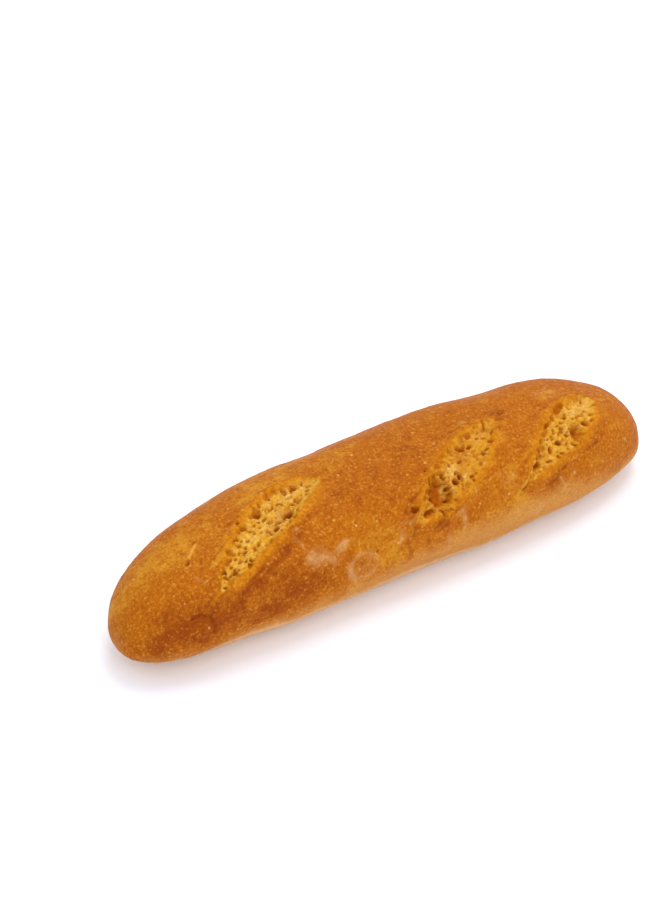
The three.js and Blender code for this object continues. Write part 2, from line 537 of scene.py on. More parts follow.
# Creases as the points of their lines, (x, s), half-width and depth.
CREASES = [
    ([(63.0, -34.8), (60.2, -37.0)], 0.9, 1.3),
    ([(60.2, -37.0), (57.3, -39.3), (54.8, -41.0)], 0.6, 0.8),
    ([(58.8, -4.6), (61.5, -3.2), (65.5, -0.8)], 0.6, 0.5),
    ([(-110.3, -27.8), (-107.3, -28.3), (-102.6, -32.4), (-100.8, -38.0), (-101.8, -41.0)], 0.8, 0.7),
    ([(-111.5, -35), (-109.5, -40), (-105, -43)], 0.8, 0.5),
    ([(-91, -28), (-88.2, -32.5), (-87.4, -37.0), (-89.5, -43)], 0.8, 0.4),
    ([(-45.0, -58.4), (-41.5, -58.4), (-38.4, -57.2)], 0.7, 0.35),
    ([(-1.4, -38.2), (-1.6, -40.4), (-2.8, -43.0)], 0.9, 0.5),
    ([(-5.4, -42.8), (-6.8, -45.6)], 0.8, 0.4),
    ([(-5.3, -47.2), (-5.0, -50.0), (-5.6, -53.4)], 0.9, 0.45),
    ([(4.6, -46.4), (4.2, -49.6)], 0.9, 0.3),
    ([(10.6, -41.4), (8.6, -44.6)], 0.9, 0.3),
    ([(68.0, -42.0), (72.0, -46.0), (75.0, -49.5)], 1.0, 0.3),
    ([(-70, 52), (-52, 50), (-30, 53), (-8, 51)], 1.1, 0.35),
    ([(28, 66), (48, 63), (70, 66)], 1.2, 0.3),
    ([(96, 40), (101, 46), (102, 54)], 0.9, 0.35),
]
# Patches where the crust is browner (above 0) or more golden (below 0) than the rest: partly its baked
# colour, partly painted light and shade, lighter on the left end's top and darker low on the left side.
BAKE_AND_PAINTED_LIGHT = [
    (0, 16, 130, 14, 0, -0.25),
    (-118, -29, 20, 14, -12, 0.76),
    (-128, -14, 9, 9, 0, 0.2),
    (-120, 8, 16, 9, 0, -0.42),
    (-106, -12, 12, 7, 0, -0.2),
    (-86, -43, 26, 10, -8, 0.48),
    (-54, -42, 20, 11, 0, 0.42),
    (-68, -27.2, 27, 3.2, 20, 0.6),
    (-22, -12, 26, 14, 10, 0.25),
    (6, -22, 16, 12, 30, 0.3),
    (14, -44, 8, 5, 0, 0.35),
    (72, -42, 9, 4, 0, 0.4),
    (40, 5, 40, 9, 0, 0.12),
    (-103, 3, 18, 9, 15, -0.4),
    (-84, 16, 12, 8, 0, 0.16),
    (-42, 18, 22, 7, 0, -0.2),
    (-22, 3, 9, 8, 0, -0.4),
    (27, 16, 14, 7, 0, 0.24),
    (14, 1, 14, 6, 0, 0.14),
    (-68, -33, 17, 8, 0, 0.18),
    (21, -38, 9, 6, 0, 0.35),
    (106, 14, 13, 9, 0, 0.3),
    (92, 5, 14, 8, 0, -0.36),
    (84, -33, 9, 4, 20, 0.25),
    (110, -46, 14, 9, 0, 0.3),
    (-60, 12, 40, 8, 0, -0.1),
    (-60, 46, 40, 12, 5, 0.4),
    (50, 52, 45, 10, -4, 0.35),
    (-5, 40, 22, 10, 0, -0.45),
    (-10, -42, 12, 14, 0, -0.45),
    (34, -50, 40, 6, 0, -0.4),
    (53, -38, 5, 12, 0, -0.45),
    (62, -16, 8, 14, -20, 0.2),
    (116, -12, 8, 20, 0, -0.22),
    (95, -41, 9, 6, 0, -0.25),
    (96, 40, 18, 12, 0, -0.4),
    (-108, 50, 14, 10, 0, 0.3),
]
# Small pits in the crust, given as the cuts' pores are, with painted shade where they are deep.
CRUST_PORES = [
    (-101.2, -6.2, 1.3, 0.8, 50, 1.3),
    (-96.2, -9.6, 1.0, 0.7, 60, 0.6),
    (-94.0, 0.9, 1.0, 0.7, 20, 0.6),
    (-21.0, -43.3, 0.8, 0.6, 0, 1.0),
    (-127.0, -1.5, 1.2, 0.5, 90, 0.5),
]
# Patches of pale skin stretched inside the cuts; the first one is also a painted highlight on the floor
# of the middle cut's deep bowl.
MEMBRANES_AND_HIGHLIGHT = [
    # Painted highlight on the floor of the middle cut's deep bowl, as well as pale skin.
    (19.2, -27.8, 2.6, 1.4, 75, 0.8),
    (18.0, -31.5, 1.6, 1.0, 30, 0.4),
    (26.0, -21.4, 4.4, 2.6, 50, 0.9),
    (30.4, -26.5, 2.4, 1.4, 60, 0.8),
    (22.9, -28.5, 2.0, 1.0, 70, 0.7),
    (46.9, -9.5, 5.0, 1.8, 30, 0.45),
    (36.9, -16.0, 3.0, 1.6, 20, 0.5),
    (-54.2, -6.2, 3.0, 2.2, 60, 0.8),
    (-62.0, -12.0, 2.0, 1.7, 60, 0.9),
    (-61.5, -8.4, 3.0, 2.2, 20, 0.4),
    (-45.5, 0.1, 3.4, 2.4, 30, 0.9),
    (-37.5, 0.1, 3.6, 1.8, 20, 0.9),
    (-57.0, -11.4, 2.0, 1.4, 60, 0.6),
    (104.4, -8.0, 5.0, 3.0, 30, 0.9),
    (96.4, -11.5, 4.0, 1.6, 30, 0.7),
    (87.4, -20.0, 2.4, 1.4, 0, 0.5),
    (2.9, -35.4, 2.0, 1.2, 20, 0.5),
]
# Pale ridges on the crust beside the cuts, as the points of their lines, half-width and rise.
RIDGES = [
    ([(-93.8, -0.8), (-96.5, -2.6), (-99.3, -4.8)], 0.8, 0.4),
    ([(61.0, -34.8), (58.0, -37.4), (54.6, -39.6)], 0.8, 0.25),
]


def patches(spots, x, s):
    """The sum of soft oval patches."""
    total = np.zeros_like(x)
    for px, ps, half_length, half_width, turn, strength in spots:
        along, across = turned(x, s, (px, ps), math.radians(turn))
        total += strength * np.exp(-((along / half_length) ** 2 + (across / half_width) ** 2))
    return total


def rings(spots, x, s):
    """The sum of soft oval rings."""
    total = np.zeros_like(x)
    for px, ps, half_length, half_width, band, strength in spots:
        radius = np.hypot((x - px) / half_length, (s - ps) / half_width)
        total += strength * np.exp(-(((radius - 1) * half_width / band) ** 2))
    return total


def crease_gap(points, x, s):
    """The distance to a line through the points."""
    gap = np.full_like(x, np.inf)
    for (ax, a_s), (bx, b_s) in zip(points, points[1:]):
        run = (bx - ax) ** 2 + (b_s - a_s) ** 2
        share = np.clip(((x - ax) * (bx - ax) + (s - a_s) * (b_s - a_s)) / run, 0, 1)
        gap = np.minimum(gap, np.hypot(x - ax - share * (bx - ax), s - a_s - share * (b_s - a_s)))
    return gap


# ---------------------------------------------------------------- the loaf's surface

# Noises: the size in millimetres and the strength of each layer, and the first layer's seed.
WOBBLE = [(1.4, 1.0), (0.8, 0.5)], 11
RAGGED = [(3.4, 1.0), (1.2, 0.6)], 41
CRUMB_GRAIN = [(1.3, 0.22), (0.75, 0.12)], 43
CRUST_GRAIN = [(1.5, 0.07)], 61
FLOUR_GRAIN = [(2.4, 0.11), (0.9, 0.08)], 91
RING_GAPS = [(5, 0.6)], 93
# Fractal noises: the size in millimetres, the number of layers and the first seed.
BROAD = (34, 2, 21)
UNEVEN = (7, 3, 31)

# The crumb's bubbles, large and small: size and depth in millimetres, the random numbers over which
# a bubble goes from closed to open, the distances from its wall, in bubble sizes, over which it
# slopes down, and seed.
BUBBLES = [
    (3.2, 2.1, (0.45, 1.0), (0.06, 0.5), 51),
    (1.6, 0.75, (0.35, 0.95), (0.06, 0.45), 61),
]
BUBBLE_BEND, BUBBLE_BEND_SIZE, BUBBLE_BEND_SEED = 0.9, 2.2, 70
LEVEL_IN_HOLLOWS = 0.85  # how much of the bubbles the pores and bowls take away
LEVEL_OVER = (0.3, 1.3)  # over these depths of them

# Around a cut, in millimetres inside its mouth, or outside it where below 0.
TORN_OVER = (-1.0, 1.3)  # where crust turns to crumb
GOLD_OVER = (-4.4, 0.4)  # where crust turns golden
GOLD_WOBBLE = 0.6
HOLLOW_OVER = (0.0, 4.5)  # the sides of the hollow
OPEN_FROM = -3  # how far out the crumb's openness is given
LIP_AT, LIP_WIDTH, LIP_RISE = 1.8, 1.9, 0.5  # the lip's middle, outside the edge, and its size
STREAKS_IN, STREAKS_OUT = (-11, -2), (3, 0)  # where the streaks beside the cut come and go
PALE_FROM = 0.2
PALE_WITHIN = 0.3  # of the mouth's width, in which the crumb turns pale, within these limits:
PALE_FROM_BELOW, PALE_FROM_ABOVE = (0.8, 2.6), (0.8, 4.5)
# Shares of the way along a cut where its gold is full, and what is left of it at the tips.
LEFT_TIP, RIGHT_TIP = 0.16, 0.92
GOLD_AT_TIPS = 0.35
STREAK_LENGTH, STREAK_WIDTH, STREAK_BEND, STREAK_SEED = 9, 1.5, 0.02, 81

SKIN_AND_HIGHLIGHT_WOBBLE = 0.3
LINE_WOBBLE = 0.5  # of creases and ridges
BROAD_RISE, UNEVEN_RISE, STREAK_RISE = 0.5, 0.2, 0.12  # the crust's relief, in millimetres
CRUMB_RISE, CRUMB_UNEVEN_RISE = 0.5, 0.3  # the crumb's walls over the hollow's floor, and their relief
RESTING = (2.0, 0.2)  # heights over which the surface settles to its plain shape on the table

# How the looks follow from the shape.
PALE_LOST_OVER = (0.35, 1.3)  # depths in the crumb's bubbles over which its pale colour goes, as painted shade
PALE_WOBBLE = 0.5
# How much of the crumb's pale colour the bowls take away: painted shade.
PALE_LOST_IN_BOWLS = 0.5
PIT_OVER = (0.4, 1.7)  # depths over which painted shade turns the bubbles honey-brown
BOWL_SHADE_POWER, BOWL_SHADE_LOST = 2, 0.6  # the latter where the crumb is pale
RIDGE_STRENGTH = 2
FLOUR_OVER = (0.08, 0.75)
BAKE_BROAD, BAKE_UNEVEN = 0.25, 0.35

# The crust turns paler towards the table, partly as its own colour and partly as painted light bounced
# up from the floor, and paler again at its base. These are the heights between which it does, and what
# shifts them, as the x where a shift starts, the x where it is full, and its size.
LOW = (22, 11)
LOW_SHIFTS = [(-50, -90, 5), (-40, 40, -7), (72, 112, 8)]
LOW_UNEVEN = 2.5
BASE = (11.2, 7.2)
BASE_UNEVEN, BASE_WOBBLE = 1.4, 0.5
BASE_RISE = 1.3  # of the base's edge, left of the middle of the loaf
BASE_RISE_RIGHT, BASE_RISE_LEFT = (0, -30), (-110, -60)


def crumb(points, openness):
    """How far torn crumb sinks below its highest walls, in millimetres: open bubbles of two sizes."""
    bends = [noise(points, BUBBLE_BEND_SIZE, BUBBLE_BEND_SEED + axis) for axis in range(3)]
    bent = points + BUBBLE_BEND * np.stack(bends, axis=-1)
    sink = 0
    for size, depth, own_span, wall_span, seed in BUBBLES:
        wall, own = bubbles(bent, size, seed)
        sink = sink + openness * depth * smooth(*own_span, own) * smooth(*wall_span, wall)
    return sink


def between(pair, share):
    """A number that runs from the pair's first at share 0 to its second at share 1."""
    return pair[0] + (pair[1] - pair[0]) * share


def pale_share(under_upper, over_lower, tear):
    """How pale crumb shows inside a mouth: not at its edges, and least under the upper one."""
    width = PALE_WITHIN * (under_upper + over_lower)
    from_below = smooth(PALE_FROM, np.clip(width, *PALE_FROM_BELOW), over_lower + tear)
    return from_below * smooth(PALE_FROM, np.clip(width, *PALE_FROM_ABOVE), under_upper + tear)


def streaks(cut, x, s, inside):
    """How strongly the crust's stretch lines could show beside a cut, and the lines themselves."""
    along, across = turned(x, s, cut["tips"][0], direction(cut))
    bent = across / STREAK_WIDTH + STREAK_BEND * along**2 / STREAK_LENGTH
    lines = noise(np.stack([along / STREAK_LENGTH, bent, along * 0], axis=-1), 1, STREAK_SEED)
    return smooth(*STREAKS_IN, inside) * smooth(*STREAKS_OUT, inside), lines


def torn_cuts(points, x, s, wobble):
    """What the cuts and pores bring to each point, each of the marks as its own attribute."""
    rng = np.random.default_rng(SEED)
    ragged = layered(points, *RAGGED)
    names = "torn gold pale lip hollow openness streak sink shade bowl bowl_shade".split()
    marks = SimpleNamespace(**{name: np.zeros_like(x) for name in names})
    for cut in CUTS:
        under_upper, over_lower, share = mouth(cut, x, s)
        inside = np.minimum(under_upper, over_lower)
        tear = cut["ragged"] * ragged
        edge = inside + tear
        marks.torn = np.maximum(marks.torn, smooth(*TORN_OVER, edge))
        tips = smooth(0.0, LEFT_TIP, share) * smooth(1.0, RIGHT_TIP, share)
        gold = cut["gold"] * between((GOLD_AT_TIPS, 1), tips)
        gold *= smooth(*GOLD_OVER, edge + GOLD_WOBBLE * wobble)
        marks.gold = np.maximum(marks.gold, gold)
        pale = between(cut["pale"], share) * pale_share(under_upper, over_lower, tear)
        marks.pale = np.maximum(marks.pale, pale)
        marks.lip = np.maximum(marks.lip, np.exp(-(((edge + LIP_AT) / LIP_WIDTH) ** 2)))
        marks.hollow = np.maximum(marks.hollow, cut["depth"] * smooth(*HOLLOW_OVER, inside))
        marks.openness = np.where(inside > OPEN_FROM, between(cut["open"], share), marks.openness)
        near, lines = streaks(cut, x, s, inside)
        marks.streak = np.where(near > 0, lines * near, marks.streak)
        add_pores(cut["bowls"], x, s, BOWL_WOBBLE * wobble, marks.bowl, marks.bowl_shade)
        add_pores(cut_pores(cut, rng), x, s, wobble, marks.sink, marks.shade)
    add_pores(CRUST_PORES, x, s, wobble, marks.sink, marks.shade)
    return marks


def lines_on_crust(lines, x, s, wobble):
    """How deep the creases go, or how high the ridges, in millimetres, and how strongly each shows."""
    size, strength = np.zeros_like(x), np.zeros_like(x)
    for line, half_width, full_size in lines:
        gap = crease_gap(line, x, s) / half_width * (1 + LINE_WOBBLE * wobble)
        size = np.maximum(size, full_size * np.exp(-(gap**2)))
        strength = np.maximum(strength, min(1, full_size) * np.exp(-(gap**2)))
    return size, strength


def surface(points, x, s, outward):
    """The finished points, and for each one how strongly each look shows there."""
    wobble = layered(points, *WOBBLE)
    broad = fractal(points, *BROAD)
    uneven = fractal(points, *UNEVEN)
    cuts = torn_cuts(points, x, s, wobble)
    torn = cuts.torn
    # Pale skins inside the cuts, with a painted highlight among them.
    skin = np.clip(torn * patches(MEMBRANES_AND_HIGHLIGHT, x, s) * (1 + SKIN_AND_HIGHLIGHT_WOBBLE * wobble), 0, 1)
    # The bowls take pale colour away: painted shade.
    pale = np.maximum(cuts.pale * (1 - PALE_LOST_IN_BOWLS * cuts.bowl_shade), skin)

    bread = np.flatnonzero(torn > 0)
    crumb_sink = np.zeros_like(x)
    crumb_sink[bread] = crumb(points[bread], cuts.openness[bread])
    crumb_sink *= 1 - LEVEL_IN_HOLLOWS * smooth(*LEVEL_OVER, cuts.sink + cuts.bowl)

    groove, crack = lines_on_crust(CREASES, x, s, wobble)
    ridge, _ = lines_on_crust(RIDGES, x, s, wobble)

    crust_height = BROAD_RISE * broad + UNEVEN_RISE * uneven + layered(points, *CRUST_GRAIN)
    crust_height += STREAK_RISE * cuts.streak
    crumb_height = CRUMB_RISE + CRUMB_UNEVEN_RISE * uneven + layered(points, *CRUMB_GRAIN) - crumb_sink
    height = crust_height * (1 - torn) + crumb_height * torn
    height += LIP_RISE * cuts.lip + ridge
    height -= cuts.hollow + cuts.bowl + cuts.sink + groove + patches(DENTS, x, s)
    height *= 1 - smooth(*RESTING, points[:, 2])
    finished = points + outward * height[:, None]
    finished[:, 2] = np.maximum(finished[:, 2], 0)

    dusting = patches(FLOUR, x, s) + rings(FLOUR_RINGS, x, s) * (1 + layered(points, *RING_GAPS))
    dusting += layered(points, *FLOUR_GRAIN)
    # Paler towards the table: partly the crust's own colour, partly painted light bounced up from the
    # floor.
    low = points[:, 2] + LOW_UNEVEN * uneven
    for start, full, millimetres in LOW_SHIFTS:
        low += millimetres * smooth(start, full, x)
    base = points[:, 2] + BASE_UNEVEN * uneven + BASE_WOBBLE * wobble
    base -= BASE_RISE * smooth(*BASE_RISE_RIGHT, x) * smooth(*BASE_RISE_LEFT, x)
    # Browner and more golden patches, partly baked colour and partly painted light and shade.
    bake = patches(BAKE_AND_PAINTED_LIGHT, x, s) + BAKE_BROAD * broad + BAKE_UNEVEN * uneven
    # Pale colour stays on the crumb's walls and goes down in the bubbles and in the pores: painted
    # shade.
    on_walls = 1 - smooth(*PALE_LOST_OVER, crumb_sink + PALE_WOBBLE * wobble)
    # Painted shade in the bowls, less where the crumb is pale, and the pores' painted shade with it.
    bowl_shade = cuts.bowl_shade**BOWL_SHADE_POWER * (1 - BOWL_SHADE_LOST * pale) * (1 - skin)
    looks = {
        "torn": torn,
        "gold": cuts.gold,
        "pale": pale * on_walls * (1 - cuts.shade),
        # Painted shade down in the crumb's bubbles.
        "pit": smooth(*PIT_OVER, crumb_sink) * torn,
        "pore": np.maximum(cuts.shade, bowl_shade),
        "skin": skin * (1 - cuts.shade),
        "ridge": np.clip(RIDGE_STRENGTH * ridge, 0, 1),
        "crack": crack,
        "streak": (1 + cuts.streak) / 2,
        "flour": smooth(*FLOUR_OVER, dusting),
        "bake": np.clip((1 + bake) / 2, 0, 1),
        "low": smooth(*LOW, low),
        "base": smooth(*BASE, base),
    }
    return finished, looks


def pole(points, x_end, looks, row):
    """The tip that closes one end of the grid, and its looks."""
    middle = points[row].mean(axis=0)
    middle[0] = x_end
    return middle, {name: values[row].mean() for name, values in looks.items()}


def unrolled(t, share):
    """The mesh's picture coordinates, one pair for each corner of each face in their order."""
    u = UNROLLED_MARGIN + (1 - 2 * UNROLLED_MARGIN) * (t + 1) / 2
    v = np.append((share + 1) / 2, 1)
    u0, v0 = np.meshgrid(u[:-1], v[:-1], indexing="ij")
    u1, v1 = np.meshgrid(u[1:], v[1:], indexing="ij")
    sides = np.stack([u0, v0, u1, v0, u1, v1, u0, v1], axis=-1)
    middle = (v[:-1] + v[1:]) / 2
    left, right = np.full_like(middle, u[0]), np.full_like(middle, u[-1])
    left_fan = np.stack([np.zeros_like(middle), middle, left, v[:-1], left, v[1:]], axis=-1)
    right_fan = np.stack([np.ones_like(middle), middle, right, v[1:], right, v[:-1]], axis=-1)
    return np.concatenate([sides.ravel(), left_fan.ravel(), right_fan.ravel()])


def build_loaf():
    t, share = grid_shares()
    points, x, s, outward = base_grid(t, share)
    rows, columns = points.shape[:2]
    finished, looks = surface(points.reshape(-1, 3), x.ravel(), s.ravel(), outward.reshape(-1, 3))
    grid = finished.reshape(rows, columns, 3)
    grid_looks = {name: values.reshape(rows, columns) for name, values in looks.items()}
    ends = [
        pole(grid, -LENGTH / 2, grid_looks, 0),
        pole(grid, LENGTH / 2, grid_looks, -1),
    ]
    vertices = np.concatenate([finished, [end[0] for end in ends]]) * MM

    index = np.arange(rows * columns).reshape(rows, columns)
    following = np.roll(index, -1, axis=1)
    quads = np.stack([index[:-1], index[1:], following[1:], following[:-1]], axis=-1).reshape(-1, 4)
    left, right = rows * columns, rows * columns + 1
    left_fan = np.stack([np.full(columns, left), index[0], following[0]], axis=-1)
    right_fan = np.stack([np.full(columns, right), following[-1], index[-1]], axis=-1)

    mesh = bpy.data.meshes.new("loaf_crust")
    mesh.from_pydata(vertices, [], [*quads.tolist(), *left_fan.tolist(), *right_fan.tolist()])
    for name, values in looks.items():
        layer = mesh.attributes.new(name, "FLOAT", "POINT")
        everywhere = np.concatenate([values, [end[1][name] for end in ends]])
        layer.data.foreach_set("value", everywhere.astype(np.float32))
    mesh.uv_layers.new(name="OFBake").data.foreach_set("uv", unrolled(t, share).astype(np.float32))
    mesh.polygons.foreach_set("use_smooth", np.ones(len(mesh.polygons), dtype=bool))
    mesh.update()
    loaf = bpy.data.objects.new("loaf_crust", mesh)
    bpy.context.collection.objects.link(loaf)
    return loaf


# ---------------------------------------------------------------- material

# Colours as they show, red, green and blue from 0 to 255.
GOLDEN_CRUST, BROWN_CRUST, DARK_CRUST = (193, 128, 28), (171, 93, 8), (138, 60, 4)
PALE_GRAIN, DARK_GRAIN, SPECK = (212, 150, 58), (122, 50, 0), (207, 143, 64)
DARK_EDGE, GOLDEN_EDGE = (178, 94, 0), (218, 150, 16)
PALE_CRUMB, DARK_CRUMB = (198, 127, 15), (174, 97, 0)
DARK_WALLS, PALE_WALLS = (208, 148, 34), (223, 184, 90)
# The skins' colour is also that of a painted highlight in the middle cut's deep bowl.
PALE_FIBRE, DARK_FIBRE, SKIN_AND_HIGHLIGHT = (224, 182, 92), (146, 80, 4), (212, 174, 104)
DARK_FLOOR, PALE_FLOOR = (248, 250, 253), (251, 252, 254)
# Tints, as their colour and their strength where their mask is full.
# Paler low down: partly the crust's own colour, partly painted light bounced up from the floor.
LOW_TINT = (191, 136, 70), 0.7
BASE_TINT = (214, 169, 122), 0.85
FLECK_TINT = (226, 166, 92), 0.6
FLOUR_TINT = (199, 154, 98), 0.72
CRACK_TINT = (110, 40, 0), 0.7
RIDGE_TINT = (222, 160, 60), 0.8
# Painted shade down in the crumb's bubbles.
PIT_SHADE_TINT = (146, 76, 4), 0.9
# Painted shade in the pores and bowls.
PORE_SHADE_TINT = (156, 68, 0), 0.9
GOLD_STRENGTH, WALLS_STRENGTH = 0.76, 0.9
# Sizes of the material's noises and spots, in millimetres.
MOTTLE_SIZE, GRAIN_SIZE, SPECK_SIZE, FLECK_SIZE, FLOUR_SIZE = 5, 1.3, 2.1, 6.5, 2.0
EDGE_SIZE, CRUMB_SIZE, WALLS_SIZE, FIBRE_SIZE = 1.5, 2.8, 1.9, 1.0
GLOSS_SIZE, FLOOR_TONE_SIZE = 1.6, 60
MOTTLE_STRENGTH, STREAK_STRENGTH = 1.05, 0.6
CRUST_ROUGHNESS, CRUMB_ROUGHER = (0.48, 0.66), 0.2
BREAD_SPECULAR = 0.05
GRAIN_HEIGHT, GRAIN_STRENGTH, SPECK_RELIEF = 0.3 * MM, 0.7, 0.4
FLOOR_ROUGHNESS, FLOOR_SPECULAR = 0.85, 0.2


def linear(shown):
    """A colour given as it shows, by the sRGB curve, as the shader's own linear numbers."""
    share = np.array(shown) / 255
    value = np.where(share <= 0.04045, share / 12.92, ((share + 0.055) / 1.055) ** 2.4)
    return (*value.tolist(), 1)


class Nodes:
    """Short ways to add and join nodes in one material."""

    def __init__(self, material):
        material.use_nodes = True
        self.tree = material.node_tree
        self.tree.nodes.clear()

    def add(self, kind, **settings):
        node = self.tree.nodes.new(kind)
        for name, value in settings.items():
            setattr(node, name, value)
        return node

    def join(self, source, target):
        self.tree.links.new(source, target)

    def put(self, value, socket):
        if isinstance(value, bpy.types.NodeSocket):
            self.join(value, socket)
        else:
            socket.default_value = value

    def attribute(self, name):
        return self.add("ShaderNodeAttribute", attribute_name=name).outputs["Fac"]

    def position(self):
        return self.add("ShaderNodeTexCoord").outputs["Object"]

    def noise(self, size_mm, detail, roughness=0.55):
        node = self.add("ShaderNodeTexNoise")
        self.join(self.position(), node.inputs["Vector"])
        node.inputs["Scale"].default_value = 1 / (size_mm * MM)
        node.inputs["Detail"].default_value = detail
        node.inputs["Roughness"].default_value = roughness
        return node.outputs["Fac"]

    def spots(self, size_mm):
        node = self.add("ShaderNodeTexVoronoi", feature="F1")
        self.join(self.position(), node.inputs["Vector"])
        node.inputs["Scale"].default_value = 1 / (size_mm * MM)
        return node.outputs["Distance"], node.outputs["Color"]

    def math(self, operation, first, second=0.0, third=0.0, clamp=False):
        node = self.add("ShaderNodeMath", operation=operation, use_clamp=clamp)
        for value, socket in zip((first, second, third), node.inputs):
            self.put(value, socket)
        return node.outputs[0]

    def span(self, value, low, high, to_low=0.0, to_high=1.0):
        node = self.add("ShaderNodeMapRange", interpolation_type="SMOOTHSTEP")
        for item, socket in zip((value, low, high, to_low, to_high), node.inputs):
            self.put(item, socket)
        return node.outputs[0]

    def mix(self, share, first, second):
        node = self.add("ShaderNodeMix", data_type="RGBA")
        sockets = node.inputs[0], node.inputs[6], node.inputs[7]
        for value, socket in zip((share, first, second), sockets):
            self.put(value, socket)
        return node.outputs[2]

    def tint(self, colour, mask, shown, strength):
        """The colour with another one laid over it, as strongly as the mask says."""
        return self.mix(self.math("MULTIPLY", mask, strength), colour, linear(shown))

    def finish(self, shader):
        self.join(shader.outputs[0], self.add("ShaderNodeOutputMaterial").inputs["Surface"])


def crust_colour(n, look):
    """The crust's colour, from golden to brown with painted light and shade among the patches, mottled
    and floury, and its grain and specks.
    """
    mottle = n.math("SUBTRACT", n.noise(MOTTLE_SIZE, 6, 0.72), 0.5)
    mottle = n.math("MULTIPLY", mottle, MOTTLE_STRENGTH)
    lines = n.math("MULTIPLY", n.math("SUBTRACT", look.streak, 0.5), STREAK_STRENGTH)
    # How toasted the crust is, with the painted light and shade of the patches in it.
    toast_and_painted_light = n.math("ADD", n.math("ADD", look.bake, mottle), lines, clamp=True)
    crust = n.mix(n.span(toast_and_painted_light, 0.05, 0.5), linear(GOLDEN_CRUST), linear(BROWN_CRUST))
    crust = n.mix(n.span(toast_and_painted_light, 0.5, 1.0), crust, linear(DARK_CRUST))
    # Paler low down: paler crust and painted light bounced up from the floor.
    crust = n.tint(crust, look.low, *LOW_TINT)
    crust = n.tint(crust, look.base, *BASE_TINT)

    # Grain, paler where it stands up, and fainter specks where the crust is dark.
    grain = n.noise(GRAIN_SIZE, 4, 0.7)
    darker_crust = n.span(toast_and_painted_light, 0.55, 1.0)
    pale_grain = n.math("MULTIPLY", n.span(grain, 0.52, 0.72, 0, 0.7), n.span(darker_crust, 0, 1, 1, 0.55))
    crust = n.mix(pale_grain, crust, linear(PALE_GRAIN))
    dark_grain = n.math("MULTIPLY", n.span(grain, 0.5, 0.3, 0, 0.6), n.span(look.low, 0.2, 1, 1, 0.5))
    crust = n.mix(dark_grain, crust, linear(DARK_GRAIN))
    gap, kind = n.spots(SPECK_SIZE)
    speck = n.math("MULTIPLY", n.span(gap, 0.3, 0.1), n.span(kind, 0.55, 1.0))
    faint = n.span(darker_crust, 0, 0.8, 0.54, 0.12)
    crust = n.mix(n.math("MULTIPLY", speck, faint), crust, linear(SPECK))
    gap, kind = n.spots(FLECK_SIZE)
    fleck = n.math("MULTIPLY", n.span(gap, 0.13, 0.05), n.span(kind, 0.3, 0.7))
    crust = n.tint(crust, fleck, *FLECK_TINT)

    # Flour left in a thin patchy film, then the cracks and the pale ridges.
    patchy = n.span(n.noise(FLOUR_SIZE, 5, 0.75), 0.32, 0.66, 0.4, 1.0)
    crust = n.tint(crust, n.math("MULTIPLY", look.flour, patchy), *FLOUR_TINT)
    crust = n.tint(crust, look.crack, *CRACK_TINT)
    return n.tint(crust, look.ridge, *RIDGE_TINT), grain, speck


def crumb_colour(n, look):
    """The crumb's colour, paler on walls and skins, with a painted highlight among the skins, painted
    honey-brown shade in hollows, and fine fibres.
    """
    patchy = n.span(n.noise(CRUMB_SIZE, 3), 0.35, 0.65)
    crumb = n.mix(patchy, linear(PALE_CRUMB), linear(DARK_CRUMB))
    patchy = n.span(n.noise(WALLS_SIZE, 4), 0.4, 0.68)
    walls = n.mix(patchy, linear(DARK_WALLS), linear(PALE_WALLS))
    crumb = n.mix(n.math("MULTIPLY", look.pale, WALLS_STRENGTH), crumb, walls)
    fine = n.noise(FIBRE_SIZE, 5, 0.75)
    crumb = n.mix(n.span(fine, 0.54, 0.7, 0, 0.55), crumb, linear(PALE_FIBRE))
    crumb = n.mix(n.span(fine, 0.46, 0.3, 0, 0.6), crumb, linear(DARK_FIBRE))
    # Painted shade down in the bubbles, deeper ones darker.
    crumb = n.tint(crumb, look.pit, *PIT_SHADE_TINT)
    # Pale skins, with a painted highlight among them.
    fibrous = n.math("MULTIPLY", look.skin, n.span(fine, 0.36, 0.62, 0.12, 0.55))
    return n.mix(fibrous, crumb, linear(SKIN_AND_HIGHLIGHT))


def crust_material():
    """The whole loaf's material: crust, golden torn edges, crumb and pores, with painted shade in the
    pores.
    """
    material = bpy.data.materials.new("bread")
    n = Nodes(material)
    names = "torn gold pale skin pit pore crack ridge streak flour bake low base".split()
    look = SimpleNamespace(**{name: n.attribute(name) for name in names})

    crust, grain, speck = crust_colour(n, look)
    patchy = n.span(n.noise(EDGE_SIZE, 5, 0.7), 0.36, 0.64)
    edge = n.mix(patchy, linear(DARK_EDGE), linear(GOLDEN_EDGE))
    colour = n.mix(n.math("MULTIPLY", look.gold, GOLD_STRENGTH), crust, edge)
    colour = n.mix(look.torn, colour, crumb_colour(n, look))
    # Painted shade in the pores and bowls, darker where they are deep.
    colour = n.tint(colour, look.pore, *PORE_SHADE_TINT)

    shader = n.add("ShaderNodeBsdfPrincipled")
    n.join(colour, shader.inputs["Base Color"])
    rough = n.span(n.noise(GLOSS_SIZE, 3), 0.3, 0.7, *CRUST_ROUGHNESS)
    rough = n.math("MULTIPLY_ADD", look.torn, CRUMB_ROUGHER, rough, clamp=True)
    n.join(rough, shader.inputs["Roughness"])
    shader.inputs["Specular IOR Level"].default_value = BREAD_SPECULAR

    bump = n.add("ShaderNodeBump")
    bump.inputs["Strength"].default_value = GRAIN_STRENGTH
    bump.inputs["Distance"].default_value = GRAIN_HEIGHT
    relief = n.math("ADD", grain, n.math("MULTIPLY", speck, SPECK_RELIEF))
    n.join(relief, bump.inputs["Height"])
    n.join(bump.outputs["Normal"], shader.inputs["Normal"])
    n.finish(shader)
    return material


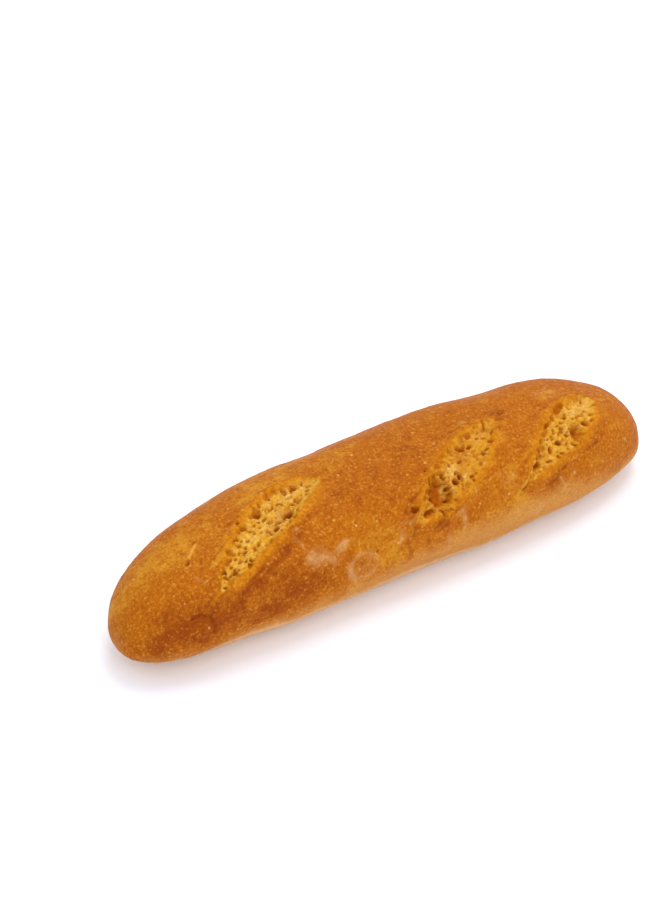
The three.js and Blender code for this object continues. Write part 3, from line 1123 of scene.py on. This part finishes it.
def floor_material():
    material = bpy.data.materials.new("pale_floor")
    n = Nodes(material)
    shader = n.add("ShaderNodeBsdfPrincipled")
    tone = n.mix(n.noise(FLOOR_TONE_SIZE, 2), linear(DARK_FLOOR), linear(PALE_FLOOR))
    n.join(tone, shader.inputs["Base Color"])
    shader.inputs["Roughness"].default_value = FLOOR_ROUGHNESS
    shader.inputs["Specular IOR Level"].default_value = FLOOR_SPECULAR
    n.finish(shader)
    return material


# ---------------------------------------------------------------- floor, light and camera

FLOOR_SIZE = 6.0
FLOOR_DROP = 0.1 * MM  # keeps the floor's face clear of the loaf's base
SKY_COLOUR, SKY_STRENGTH = (0.99, 1.01, 1.10, 1), 0.96
# Soft round lights, as their diameter in metres, power in watts and place.
SOFTBOXES = {
    "softbox_above": (0.9, 7.2, (0.4, 0.3, 1.25)),
    "softbox_front": (1.4, 6.2, (-0.1, -1.35, 0.75)),
}
LIGHT_TARGET = (0, 0, 0.02)
CAMERA_AZIMUTH, CAMERA_ELEVATION = -31.73, 38.6
CAMERA_DISTANCE = 1.335
CAMERA_LENS = 120
AIM_ACROSS, AIM_UP = -0.02016, 0.04165  # where the camera points, in its own plane, from the origin


def build_floor():
    half = FLOOR_SIZE / 2
    corners = [(-half, -half), (half, -half), (half, half), (-half, half)]
    mesh = bpy.data.meshes.new("floor")
    mesh.from_pydata([(x, y, -FLOOR_DROP) for x, y in corners], [], [(0, 1, 2, 3)])
    floor = bpy.data.objects.new("floor", mesh)
    bpy.context.collection.objects.link(floor)
    floor.data.materials.append(floor_material())
    return floor


def softbox(name, size, power, place):
    light = bpy.data.lights.new(name, "AREA")
    light.shape = "DISK"
    light.size = size
    light.energy = power
    lamp = bpy.data.objects.new(name, light)
    lamp.location = place
    lamp.rotation_euler = (Vector(LIGHT_TARGET) - Vector(place)).to_track_quat("-Z", "Y").to_euler()
    bpy.context.collection.objects.link(lamp)


def build_light():
    world = bpy.data.worlds.new("studio")
    bpy.context.scene.world = world
    world.use_nodes = True
    background = world.node_tree.nodes["Background"]
    background.inputs["Color"].default_value = SKY_COLOUR
    background.inputs["Strength"].default_value = SKY_STRENGTH
    for name, (size, power, place) in SOFTBOXES.items():
        softbox(name, size, power, place)


def build_camera():
    azimuth, elevation = math.radians(CAMERA_AZIMUTH), math.radians(CAMERA_ELEVATION)
    back = Vector((
        math.sin(azimuth) * math.cos(elevation),
        -math.cos(azimuth) * math.cos(elevation),
        math.sin(elevation),
    ))
    right = Vector((math.cos(azimuth), math.sin(azimuth), 0))
    aim = right * AIM_ACROSS + back.cross(right) * AIM_UP
    data = bpy.data.cameras.new("camera")
    data.lens = CAMERA_LENS
    camera = bpy.data.objects.new("camera", data)
    camera.location = aim + back * CAMERA_DISTANCE
    camera.rotation_euler = (-back).to_track_quat("-Z", "Y").to_euler()
    bpy.context.collection.objects.link(camera)
    bpy.context.scene.camera = camera


# ---------------------------------------------------------------- the scene

loaf = build_loaf()
loaf.data.materials.append(crust_material())
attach(loaf, "root")
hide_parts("loaf")

build_floor()
build_light()
build_camera()
bpy.context.scene.view_settings.view_transform = "Standard"
